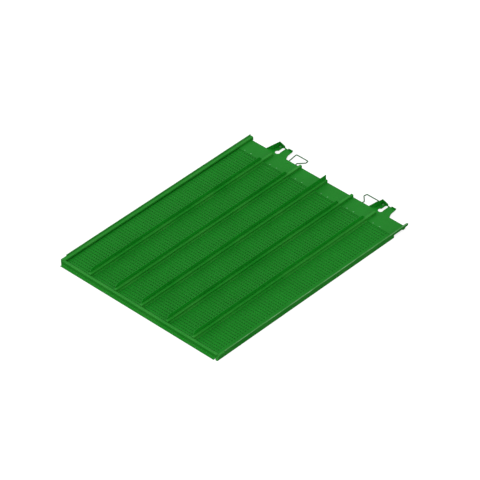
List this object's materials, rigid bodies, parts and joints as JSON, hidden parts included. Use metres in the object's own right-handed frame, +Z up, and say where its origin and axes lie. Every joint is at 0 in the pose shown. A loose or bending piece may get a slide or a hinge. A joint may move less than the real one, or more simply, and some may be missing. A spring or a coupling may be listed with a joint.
{
  "type": "grain sieve panel",
  "caption": "Flat screen panel of folded sheet steel: pressed screen channels between upright dividers in a shallow frame, with keyhole brackets and wire pull handles at the rear.",
  "frame": {"origin": "middle of the overall length and width, on the surface that the panel stands on", "axes": "+X to the right seen from the front flange, +Y to the rear with the brackets and handles, +Z up"},
  "size_m": [1.094, 1.4624, 0.052],
  "materials": {
    "green_paint": "smooth semi-gloss green paint on folded sheet steel",
    "screen_paint": "green paint on pressed screen sheet",
    "handle_wire": "dark grey-green paint on drawn wire",
    "zinc_plate": "dull zinc plate"
  },
  "bodies": {
    "panel": {"backing_strip_1": "green_paint", "backing_strip_2": "green_paint", "backing_strip_3": "green_paint", "backing_strip_4": "green_paint", "backing_strip_5": "green_paint", "blade_rivets": "green_paint", "clip_rivets": "green_paint", "cross_bar_1": "green_paint", "cross_bar_2": "green_paint", "cross_bar_3": "green_paint", "divider_blade_1": "green_paint", "divider_blade_2": "green_paint", "divider_blade_3": "green_paint", "divider_blade_4": "green_paint", "divider_blade_5": "green_paint", "divider_foot_rivets": "green_paint", "divider_ledge_1": "green_paint", "divider_ledge_2": "green_paint", "divider_ledge_3": "green_paint", "divider_ledge_4": "green_paint", "divider_ledge_5": "green_paint", "front_rail": "green_paint", "left_handle_clips": "green_paint", "left_rear_bracket": "green_paint", "left_side_rail": "green_paint", "rear_plate": "green_paint", "rear_plate_rivets": "zinc_plate", "right_handle_clips": "green_paint", "right_rear_bracket": "green_paint", "right_side_rail": "green_paint", "screen_sheet_1": "screen_paint", "screen_sheet_2": "screen_paint", "screen_sheet_3": "screen_paint", "screen_sheet_4": "screen_paint", "screen_sheet_5": "screen_paint", "screen_sheet_6": "screen_paint", "stop_bolts": "zinc_plate", "stop_nuts": "zinc_plate"},
    "left_pull_handle": {"left_pull_handle": "handle_wire"},
    "right_pull_handle": {"right_pull_handle": "handle_wire"}
  },
  "joints": [
    {"name": "left_handle_pivot", "type": "hinge", "parent": "panel", "child": "left_pull_handle", "pos_m": [-0.2637, 0.6478, 0.0055], "axis": [1, 0, 0], "range_deg": [-150, 0]},
    {"name": "right_handle_pivot", "type": "hinge", "parent": "panel", "child": "right_pull_handle", "pos_m": [0.2875, 0.6478, 0.0055], "axis": [1, 0, 0], "range_deg": [-150, 0]}
  ]
}
